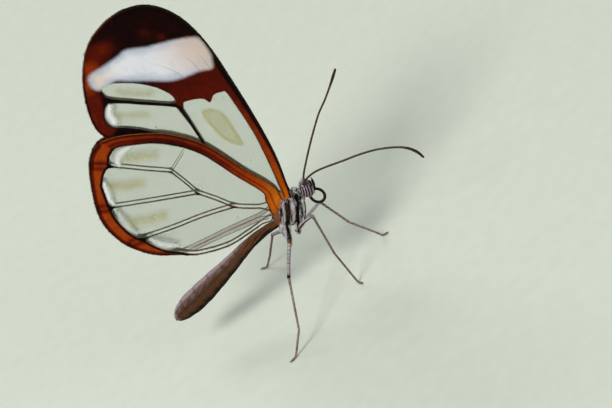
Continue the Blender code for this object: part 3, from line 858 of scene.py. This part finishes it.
def body_parts():
    """Each length of the trunk, head and limbs as kind, path, half height and flatness."""
    parts = []
    for kind, stations, count, inset in (("thorax", THORAX, 30, 0.95), ("abdomen", ABDOMEN[::-1], 90, 0.97)):
        sections = spline(stations, count)
        path = upright(sections, np.zeros(count))
        high = sections[:, 3] * inset
        if kind == "abdomen":
            step = (line_share(path) * ABDOMEN_RINGS) % 1
            high = high * (1 + 0.05 * step - 0.05 * rise(step, 0.86, 0.14))
        parts.append((kind, path, high, sections[:, 2] / sections[:, 3]))
    head = np.array(HEAD_CENTRE)
    parts += [
        egg("head", head, HEAD_RADII), egg("head", head + (0.3, 0, -0.08), (0.42, 0.4, 0.6)),
        egg("head", head + (0.1, 0, 0.5), (0.42, 0.44, 0.36)),
        egg("thorax", (2.05, 0, 10.7), (0.62, 0.46, 0.5)),
    ]
    for side in (1, -1):
        parts += [
            egg("thorax", (1.85, 0.4 * side, 11.05), (0.34, 0.3, 0.4)),
            egg("thorax", (0.98, 0.86 * side, 10.85), (0.36, 0.17, 0.5)),
            egg("thorax", (-0.1, 0.95 * side, 10.45), (0.8, 0.24, 0.5)),
        ]
        for coxa in COXAE:
            coxa = np.array(coxa)
            parts.append(("thorax", coxa[:, :3] * (1, side, 1), coxa[:, 3], 0.9))
        parts.append(egg("head", (3.2, 0.3 * side, 11.42), (0.15, 0.15, 0.17)))
        palp, fore = even(np.array(PALP) * (1, side, 1), 20), even(np.array(FORELEG) * (1, side, 1), 14)
        parts.append(("palp", palp, taper(20, (0, 0.3, 0.75, 1), (0.11, 0.1, 0.085, 0.045)), 1.0))
        parts.append(("femur", fore, np.linspace(0.17, 0.1, 14), 1.0))
    for name in LEGS:
        femur, tibia, tarsus = leg_path(name)
        stout = 1.15 if name.startswith("hind") else 1.0
        parts.append(("femur", femur, stout * taper(14, (0, 0.4, 0.9, 1), (0.16, 0.17, 0.14, 0.16)), 1.0))
        parts.append(("shin", tibia, taper(14, (0, 0.06, 0.2, 1), (0.17, 0.14, 0.125, 0.12)), 1.0))
        parts.append(("shin", tarsus, 0.105 + 0.02 * (np.linspace(0, 5, 22) % 1), 1.0))
    return parts


def make_skin_points(parts):
    """One fused and smoothed surface over every part, as points, faces and normals."""
    shapes = [tube(path, high, 20, flat) for kind, path, high, flat in parts]
    rough = build_mesh("rough_skin", *join(shapes), shift=0, scale=1)
    fuse = rough.modifiers.new("fuse", "REMESH")
    fuse.mode = "VOXEL"
    fuse.voxel_size = SKIN_VOXEL
    relax = rough.modifiers.new("relax", "SMOOTH")
    relax.factor = 0.5
    relax.iterations = 3
    shape = rough.evaluated_get(bpy.context.evaluated_depsgraph_get()).to_mesh()
    points = read_all(shape.vertices, "co", width=3)
    normals = read_all(shape.vertex_normals, "vector", width=3)
    faces = read_all(shape.loops, "vertex_index", np.int32)
    rough.to_mesh_clear()
    bpy.data.objects.remove(rough, do_unlink=True)
    return points.reshape(-1, 3).astype(float), faces.reshape(-1, 4), normals.reshape(-1, 3).astype(float)


def locate(points, parts):
    """For each point its part, how far along, which way that runs, and how high on it."""
    count = len(points)
    best, size = np.full(count, 1e9), np.ones(count)
    number, share = np.zeros(count, int), np.zeros(count)
    flow, centre = np.zeros((2, count, 3))
    for index, (kind, path, high, flat) in enumerate(parts):
        low, top = path.min(axis=0) - 1.4, path.max(axis=0) + 1.4
        near = np.flatnonzero(np.all((points > low) & (points < top), axis=1))
        gap, along = line_distance(points[near], path)
        steps = line_share(path)
        radius = np.interp(along, steps, np.broadcast_to(high, len(path)) * np.sqrt(flat))
        ratio = gap / radius
        won = ratio < best[near]
        chosen, along = near[won], along[won]
        best[chosen], size[chosen] = ratio[won], radius[won]
        number[chosen], share[chosen] = index, along
        aim = np.gradient(path, axis=0)
        for k in range(3):
            flow[chosen, k] = np.interp(along, steps, aim[:, k])
            centre[chosen, k] = np.interp(along, steps, path[:, k])
    return {"number": number, "share": share, "flow": flow, "out": (points - centre) / size[:, None]}


def fold_over(points):
    """The points with those on the right side mirrored to the left."""
    return points * (1, 0, 1) + np.abs(points) * (0, 1, 0)


def markings(points, normals, place_on, kinds):
    """The pattern of the body at each point, with painted light on the legs and shoulder and painted sheen
    and shade on the abdomen: brown, dark, pale and gold, each 0 to 1.
    """
    kind = kinds[place_on["number"]]
    share, (_, side, up) = place_on["share"], place_on["out"].T
    folded = fold_over(points)
    x, y, z = points.T
    fine = wobble(folded, 0.35, 5)
    lean, fall = 0.9 * x - 0.43 * z, 0.43 * x + 0.9 * z
    grain = wobble(np.stack((lean, 0.28 * fall, 0.6 * folded[:, 1]), 1), 0.12, 31)
    grain += 0.5 * wobble(np.stack((lean, 0.4 * fall, 0.8 * folded[:, 1]), 1), 0.06, 32)
    # Dark flecks from the grain, cleared on the shoulder as painted light.
    dark = rise(grain, 0.15, 0.4) * 0.95 * (1 - 0.8 * smooth(1.4 - gap_to(folded, PAINTED_LIGHT_SHOULDER) / 0.32))
    rusty = np.zeros(len(points))
    for line, wide, tone in THORAX_STRIPES:
        gap, along = line_distance(folded, even(line, 24))
        width = np.interp(along, (0, 0.3, 1), wide) * (1 + 0.2 * fine + 0.12 * grain)
        stripe = smooth((1.25 - gap / width) / 0.4)
        dark = np.maximum(dark * (1 - stripe), stripe * (tone + 1.1 * (1 - tone) * grain))
        rusty = np.maximum(rusty, stripe * (1 - tone) * 2.4)
    tip = np.linalg.norm(folded - COXA_TIP, axis=1)
    gold = smooth(1.3 - gap_to(folded, GOLD_PATCH) / 0.3) * (0.7 + 0.3 * grain)
    gold = np.maximum(gold, smooth(1.3 - tip / 0.3))
    pale = 0.2 + 0.75 * smooth(0.3 - 1.4 * grain)
    for line, wide in PALE_LINES:
        lit = smooth(1.5 - gap_to(folded, line, 20) / wide)
        pale = np.maximum(pale, lit * (0.8 + 0.2 * grain))
        dark *= 1 - 0.9 * lit
    sclerite = smooth(1.35 - gap_to(folded, SCLERITE, 20) / 0.36) * (0.75 + 0.3 * grain)
    sclerite = np.clip(1.2 * sclerite, 0, 1)
    gold = np.maximum(gold, sclerite)
    dark = dark * (1 - sclerite) * (1 - smooth(1.3 - tip / 0.25))
    brown = np.clip(0.1 + 0.3 * rise(fine, -0.2, 0.8) + rusty, 0, 1)
    look = {"brown": brown, "dark": dark, "pale": pale * (1 - dark) * (1 - gold), "gold": gold}

    def paint(on, **values):
        for name, value in values.items():
            look[name] = np.where(on, value, look[name])

    rings = (share * ABDOMEN_RINGS) % 1
    seam = bell(rings - 0.97, 0.05) + bell(rings + 0.03, 0.05)
    base = rise(share, 0.42, -0.2)
    streak = np.stack((3.5 * share, side, up), 1)
    mottle = smooth(0.5 + 0.5 * wobble(streak, 0.3, 8) + 0.5 * wobble(streak, 0.13, 14))
    panel = bell(up - 0.4 - 0.05 * fine, 0.1) * rise(share, 0.35, 0.15)
    tail = rise(share, 0.94, 0.05)
    # Painted sheen: the top of the abdomen painted paler, with a painted highlight along its ridge. Painted
    # shade: under makes the underside darker.
    pale_and_sheen = 0.32 * smooth((up - 0.42 + 0.12 * fine) / 0.4) + 0.4 * rise(up, 0.86, 0.12)
    belly = rise(-up, 0.78, 0.15) * rise(share, 0.75, 0.15)
    under = 0.72 * rise(up, 0.35, -1.2) * (1 - belly)
    paint(
        kind == "abdomen", brown=0.95,
        dark=0.16 * seam + under + 0.08 * fine + 0.55 * mottle * base + 0.34 * panel,
        pale=np.clip(pale_and_sheen * (1 - 0.7 * base) + 0.4 * belly + 0.5 * tail, 0, 1) * (1 - 0.5 * seam),
        gold=0.34 * (1 - mottle) * base + 0.4 * belly + 0.06 * (1 - base) * smooth(0.6 - up) + 0.25 * tail,
    )

    crown = rise(z, 11.25, 0.25)
    tuft = wobble(folded, 0.14, 9)
    turn = (0.88 * (x - EYE_CENTRE[0]) - 0.47 * (z - EYE_CENTRE[2])) / EYE_RADII[0]
    stripe = np.sin(turn * EYE_BARS + 0.9) * (1 - crown) + crown * (1.3 * tuft + 0.3) + 0.35 * tuft
    paint(
        kind == "head", gold=0.0, dark=smooth(0.45 - 1.2 * stripe) * (1 - 0.35 * crown),
        pale=smooth(0.4 + 0.9 * stripe) * (0.75 + 0.25 * crown),
        brown=0.3 + 0.5 * smooth(0.6 - 2 * np.abs(stripe)) + 0.5 * crown * smooth(0.3 - stripe),
    )
    paint(kind == "palp", dark=0.95, pale=0.05, gold=0.0)

    # Painted light on the legs: tops painted paler and undersides darker, and the legs on the far side
    # paler.
    lit = smooth(normals[:, 2] * 1.1 + np.where(y > 0.2, 0.9, 0.5))
    speckle = smooth(0.45 * wobble(folded, 0.13, 12) + 0.4 * wobble(folded, 0.06, 13) + 0.5)
    hind = rise(x, -1.5, -0.6)
    knee = rise(share, 0.94, 0.05)
    thigh = kind == "femur"
    paint(
        thigh, brown=0.35 + 0.5 * (1 - lit), gold=0.0,
        dark=0.5 * (1 - lit) + 0.25 * (1 - speckle) + 0.8 * knee,
        pale=(0.35 + 0.55 * speckle) * lit * (1 - 0.25 * hind),
    )
    # Painted light: the front femurs on the far side painted near white.
    paint(thigh & (y > 0.2) & (x > 0), pale=np.maximum(look["pale"], 0.9 * (1 - knee)))
    paint(
        kind == "shin", brown=0.7, gold=0.05 + 0.14 * hind,
        dark=0.12 * (1 - lit) + 0.1 * (1 - speckle), pale=0.2 + 0.35 * speckle * lit,
    )
    return {name: np.clip(value, 0, 1) for name, value in look.items()}


def body_colour(m, spread):
    """The body's colour from its marks, for skin and coat alike."""
    speck = m.noise(7.0)
    colour = m.mix(m.mark("brown"), (0.16, 0.145, 0.15), (0.09, 0.036, 0.013))
    colour = m.mix(m.mark("gold"), colour, (0.36, 0.1, 0.008))
    # Pale colour, near white to purple-grey as brown rises: real pale hair, and painted sheen and light
    # where the marks put them.
    pale_and_sheen = m.mix(m.mark("brown"), (0.78, 0.75, 0.76), (0.42, 0.33, 0.35))
    colour = m.mix(m.span(m.shaken("pale", speck, spread), 0.05, 1.0), colour, pale_and_sheen)
    return m.mix(m.span(m.shaken("dark", speck, spread), 0.1, 0.75), colour, (0.006, 0.003, 0.003))


def skin_material():
    m = Recipe("skin_cuticle", 0.12)
    height = m.plus(m.cells(13.0, (0.6, 1, 1)), m.noise(3.0, 4.0))
    return m.done(body_colour(m, 0.5), m.rough(m.noise(5.0), 0.45, 0.7), height, 0.02, 0.6)


def coat_material():
    m = Recipe("hair_and_scales", 0.08)
    height = m.noise(24.0, 2.0, (0.3, 1, 1))
    return m.done(body_colour(m, 0.35), m.rough(m.noise(9.0), 0.5, 0.7), height, 0.004, 0.5)


def scatter(points, faces, normals, share, rng):
    """Points spread over quads, each face taken as often as its share says."""
    count = np.floor(share + rng.uniform(size=len(share))).astype(int)
    picked = faces[np.repeat(np.arange(len(faces)), count)]
    u, v = rng.uniform(size=(2, len(picked), 1))
    a, b, c, d = (points[picked[:, k]] for k in range(4))
    spots = (a * (1 - u) + b * u) * (1 - v) + (d * (1 - u) + c * u) * v
    return spots, unit(normals[picked].mean(axis=1))


# Coat: per kind of part, the tufts to a square millimetre, and their length, half width and lift
COATS = {
    "thorax": (190, (0.2, 0.42), (0.012, 0.02), (0.1, 0.3)),
    "abdomen": (110, (0.16, 0.24), (0.026, 0.04), (0.05, 0.16)),
    "head": (260, (0.13, 0.34), (0.012, 0.019), (0.3, 1.0)),
    "palp": (280, (0.06, 0.11), (0.008, 0.013), (0.1, 0.3)),
    "femur": (190, (0.07, 0.12), (0.012, 0.02), (0.06, 0.2)),
    "shin": (160, (0.06, 0.1), (0.011, 0.018), (0.06, 0.2)),
}


def make_coat(points, faces, normals, parts, kinds, material):
    """Tufts lying along the body, rooted in the skin, one piece for each kind of part."""
    rng = np.random.default_rng(21)
    corners = points[faces]
    diagonals = np.cross(corners[:, 2] - corners[:, 0], corners[:, 3] - corners[:, 1])
    area = 0.5 * np.linalg.norm(diagonals, axis=1)
    kind_of_face = kinds[locate(corners.mean(axis=1), parts)["number"]]
    for kind, (density, lengths, halves, lifts) in COATS.items():
        share = area * density * (kind_of_face == kind)
        spots, out = scatter(points, faces, normals, share, rng)
        eye = (fold_over(spots) - EYE_CENTRE) / (np.array(EYE_RADII) + 0.03)
        keep = (np.linalg.norm(eye, axis=1) > 1) & (spots[:, 2] > 0.04)
        spots, out = spots[keep], out[keep]
        on = locate(spots, parts)
        flow, count = on["flow"], len(spots)
        if kind == "thorax":
            flow = np.tile((-0.43, 0.0, -0.9), (count, 1))
        if kind == "head":
            flow = np.stack((np.full(count, 0.35), spots[:, 1] * 0.3, (spots[:, 2] - 10.7) * 1.6), 1)
        flow += rng.normal(scale=0.1, size=flow.shape) * np.linalg.norm(flow, axis=1, keepdims=True)
        flow = unit(flow - out * (flow * out).sum(axis=1, keepdims=True))
        long = rng.uniform(*lengths, count)[:, None]
        if kind == "head":
            long = long * (1 + 0.6 * rise(spots[:, 2:], 11.1, 0.3))
        lift = rng.uniform(*lifts, count)[:, None]
        path = np.stack((
            spots - out * 0.02, spots + flow * long * 0.55 + out * long * lift * 0.6,
            spots + flow * long + out * long * lift * 0.7,
        ), 1)
        half = rng.uniform(*halves, count)
        path[:, :, 2] = np.maximum(path[:, :, 2], 0.012)
        shape = blades(path, half, np.cross(flow, out), half.mean() * 0.45)
        fields = markings(spots, out, on, kinds)
        tone = rng.normal(scale=0.05 if kind == "abdomen" else 0.12, size=count)
        fields["dark"] = np.clip(fields["dark"] - tone, 0, 1)
        fields["pale"] = np.clip(fields["pale"] + tone, 0, 1)
        marks = {key: np.repeat(value, BLADE_POINTS) for key, value in fields.items()}
        obj = add_piece(f"coat_{kind}", shape, material, "body", **marks)
        turn = np.arctan2(on["out"][:, 1], on["out"][:, 2]) / math.tau + 0.5
        cell = np.stack((on["number"] % 8, on["number"] // 8), 1) / 8
        lay_patches(obj, cell + 0.005 + 0.11 * np.stack((on["share"], turn), 1))


def make_skin():
    parts = body_parts()
    kinds = np.array([part[0] for part in parts])
    points, faces, normals = make_skin_points(parts)
    marks = markings(points, normals, locate(points, parts), kinds)
    nodes = ["head", "thorax", "palp_left", "palp_right", "foreleg_left", "foreleg_right"]
    nodes += ["abdomen_base", "abdomen_middle", "abdomen_tip"]
    nodes += [f"{name}_{length}" for name in LEGS for length in ("femur", "tibia", "tarsus")]
    add_piece("skin", (points, faces), skin_material(), "body", *nodes, **marks)
    make_coat(points, faces, normals, parts, kinds, coat_material())


# Eyes, feelers, proboscis and claws

def make_eyes():
    m = Recipe("striped_eye", 0.2, Coat_Weight=0.12, Coat_Roughness=0.12)
    bars = m.span(m.plus(m.mark("bar"), m.times(m.noise(5.0), 0.25)), 0.6, 1.0)
    colour = m.mix(m.mark("rim"), m.mix(bars, (0.008, 0.004, 0.006), (0.3, 0.22, 0.27)), (0.26, 0.28, 0.23))
    material = m.done(colour, m.span(bars, 0, 1, 0.22, 0.4), m.cells(28.0), 0.006, 0.5)
    rows, columns = 60, 96
    angle = np.linspace(0.02, math.pi - 0.02, rows)[:, None]
    turn = np.linspace(0, math.tau, columns, endpoint=False)[None]
    round_x, round_z = np.sin(angle) * np.cos(turn), np.sin(angle) * np.sin(turn)
    ball = np.stack(np.broadcast_arrays(round_x, -np.cos(angle), round_z), 2).reshape(-1, 3)
    lean = 0.88 * ball[:, 0] - 0.47 * ball[:, 2]
    fall = 0.47 * ball[:, 0] + 0.88 * ball[:, 2]
    bar = 0.5 + 0.5 * np.sin((lean + 0.22 * fall**2) * EYE_BARS + 0.9)
    faces = grid_faces(rows, columns, wrap=True)
    rim = 0.8 * rise(lean, 0.72, 0.2)
    for label, side in SIDES:
        points = np.array(EYE_CENTRE) * (1, side, 1) + ball * EYE_RADII * (1, side, 1)
        shape = (points, faces if side > 0 else faces[:, ::-1])
        add_piece(f"eye_{label}_facets", shape, material, "eye", f"eye_{label}", bar=bar, rim=rim)


def feeler_material():
    m = Recipe("feeler_scales", 0.1)
    tone = m.noise(3.0, 4.0)
    dark = m.ramp(tone, ((0.3, (0.022, 0.012, 0.008)), (0.7, (0.06, 0.034, 0.018))))
    colour = m.mix(m.mark("ring"), dark, (0.15, 0.11, 0.05))
    return m.done(colour, m.rough(tone, 0.4, 0.6), m.cells(20.0), 0.008, 0.6)


def make_feelers():
    material = feeler_material()
    count, joints, around = 420, 52, 12
    share = np.linspace(0, 1, count)
    step = share * joints % 1
    thick = taper(count, (0, 0.015, 0.04, 0.8, 0.93, 0.99, 1), (0.13, 0.13, 0.1, 0.1, 0.15, 0.12, 0.05))
    radii = thick * (1 + 0.07 * np.sin(step * math.pi) - 0.12 * bell(step, 0.08))
    ring = np.append(np.repeat(bell(step - 0.1, 0.1) * (share < 0.85), around), (0, 0))
    for (label, side), route in zip(SIDES, (LEFT_ANTENNA, RIGHT_ANTENNA)):
        shape = tube(even(np.array(route) * (1, side, 1), count), radii, around)
        node = f"antenna_{label}"
        add_piece(f"{node}_joints", shape, material, "feeler", node, ring=ring)


def make_proboscis():
    material = mottled(
        "proboscis_cuticle", (5.0, 3.0), (0.005, 0.003, 0.003), (0.014, 0.009, 0.007), (0.28, 0.45),
        (5.0, 3.0, 0.01, 0.5), 0.12,
    )
    turn = np.radians(np.linspace(150, 470, 200))
    radius = np.linspace(0.7, 0.66, 200)
    ring = np.stack((3.52 + radius * np.cos(turn), 0 * turn, 9.48 + 1.25 * radius * np.sin(turn)), 1)
    count = 420
    path = even(np.vstack(((3.42, 0, 10.3), (3.12, 0, 10.1), ring[::8])), count)
    radii = taper(count, (0, 0.1, 0.9, 1), (0.14, 0.15, 0.145, 0.09))
    radii = radii * (1 + 0.05 * np.sin(np.linspace(0, 1, count) * 420))
    add_piece("proboscis_coil", tube(path, radii, 12), material, "feeler", "proboscis")


def make_claws():
    horn = mottled("claw_horn", (8.0, 2.0), (0.02, 0.012, 0.01), (0.06, 0.035, 0.02), (0.25, 0.4))
    shapes = []
    for name in LEGS:
        tarsus = leg_path(name)[2]
        end, forward = tarsus[-1], unit(tarsus[-1] - tarsus[-4])
        for side in (1, -1):
            across = np.cross(forward, (0, 0, 1)) * side
            shapes.append(tube(even((
                end + across * 0.04, end + forward * 0.11 + across * 0.08 + (0, 0, 0.02),
                end + forward * 0.17 + across * 0.09 - (0, 0, end[2] - 0.02),
            ), 12), np.linspace(0.035, 0.008, 12)))
    add_piece("claws", join(shapes), horn, "leg")


# Stage

def make_floor():
    reach = 2000
    corners = [(x * reach, y * reach, 0) for x, y in ((-1, -1), (1, -1), (1, 1), (-1, 1))]
    floor = build_mesh("floor", corners, [(0, 1, 2, 3)])
    paper = mottled("pale_paper", (0.6, 5.0), (0.6, 0.65, 0.55), (0.63, 0.68, 0.58), (0.75, 0.9))
    floor.data.materials.append(paper)


def axes_of_view():
    """The camera's backward, rightward and upward directions."""
    flat = math.cos(ELEVATION)
    back = np.array((math.sin(AZIMUTH) * flat, -math.cos(AZIMUTH) * flat, math.sin(ELEVATION)))
    level = np.array((math.cos(AZIMUTH), math.sin(AZIMUTH), 0.0))
    upright_way = np.cross(back, level)
    right = math.cos(ROLL) * level - math.sin(ROLL) * upright_way
    up = math.sin(ROLL) * level + math.cos(ROLL) * upright_way
    return back, right, up


def make_camera():
    back, right, up = axes_of_view()
    shift_x = (PICTURE[0] / 2 - AIM_PIXEL[0]) / PIXELS_PER_MM
    shift_y = (AIM_PIXEL[1] - PICTURE[1] / 2) / PIXELS_PER_MM
    aim = np.array(AIM_POINT) + right * shift_x + up * shift_y
    spot = (aim + back * CAMERA_DISTANCE + SHIFT) * MM
    data = bpy.data.cameras.new("camera")
    data.sensor_width = SENSOR
    data.lens = CAMERA_DISTANCE * PIXELS_PER_MM * SENSOR / PICTURE[0]
    data.clip_start = 0.005
    data.clip_end = 20.0
    camera = add_object("camera", data)
    camera.matrix_world = Matrix([[right[i], up[i], back[i], spot[i]] for i in range(3)] + [[0, 0, 0, 1]])
    bpy.context.scene.camera = camera


def make_light(name, spot, size, power, colour):
    data = bpy.data.lights.new(name, "AREA")
    data.size = size
    data.energy = power
    data.color = colour
    light = add_object(name, data)
    light.location = spot
    aim = Vector(LIT_POINT) - Vector(spot)
    light.rotation_euler = aim.to_track_quat("-Z", "Y").to_euler()


def make_lights():
    make_light("key", (-0.18, -0.32, 0.5), 0.22, 2.5, (1.0, 0.98, 0.95))
    make_light("fill", (0.5, -0.3, 0.3), 0.35, 0.8, (0.94, 0.97, 1.0))
    make_light("back", (-0.25, 0.45, 0.4), 0.25, 1.2, (1.0, 1.0, 1.0))
    world = bpy.data.worlds.new("studio")
    world.use_nodes = True
    sky = world.node_tree.nodes["Background"].inputs
    sky["Color"].default_value = (0.93, 0.96, 1.0, 1.0)
    sky["Strength"].default_value = 0.32
    bpy.context.scene.world = world
    bpy.context.scene.view_settings.view_transform = "Standard"


make_camera()
make_lights()
make_floor()
make_wings()
make_skin()
make_eyes()
make_feelers()
make_proboscis()
make_claws()
